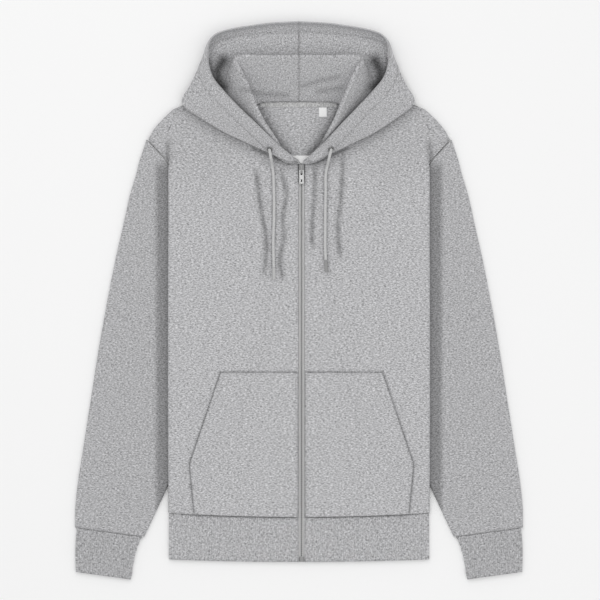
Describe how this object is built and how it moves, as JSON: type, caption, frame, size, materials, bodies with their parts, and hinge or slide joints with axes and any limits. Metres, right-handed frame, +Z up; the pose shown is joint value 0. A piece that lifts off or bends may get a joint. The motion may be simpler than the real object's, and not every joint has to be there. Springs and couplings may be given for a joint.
{
  "type": "zip up hoodie",
  "caption": "Hooded sweatshirt with a full front zip, drawcord hood, slant front pockets and ribbed cuffs and hem, laid flat on its back.",
  "frame": {"origin": "middle of the bounding box on the surface that the garment lies on", "axes": "+Z up from the surface, out of the garment's front; +Y from the hem to the hood; +X to the right as the front is seen"},
  "size_m": [0.7028, 0.8757, 0.0371],
  "materials": {
    "fleece": "brushed marl jersey",
    "rib": "marl rib knit",
    "tape": "woven tape",
    "label": "plain white woven label",
    "cord": "round braided cord",
    "zip": "grey zip chain",
    "metal": "satin"
  },
  "bodies": {
    "hoodie": {"back_panel": "fleece", "front_left": "fleece", "front_right": "fleece", "sleeve_left": "fleece", "sleeve_right": "fleece", "hood_left": "fleece", "hood_right": "fleece", "pocket_left": "fleece", "pocket_right": "fleece", "cuff_left": "rib", "cuff_right": "rib", "hem_rib": "rib", "neck_tape": "tape", "zip_tape_left": "tape", "zip_tape_right": "tape", "size_label": "label", "back_label": "label", "zip_chain": "zip", "zip_box": "zip", "zip_slider": "metal", "eyelet_left": "metal", "eyelet_right": "metal", "cord_tip_left": "metal", "cord_tip_right": "metal", "drawcord_left": "cord", "drawcord_right": "cord"},
    "pull_tab": {"pull_tab": "metal"}
  },
  "joints": [
    {"name": "pull_tab", "type": "hinge", "parent": "hoodie", "child": "pull_tab", "pos_m": [0.004, 0.2034, 0.0096], "axis": [-1, 0, 0], "range_deg": [0, 120]}
  ]
}
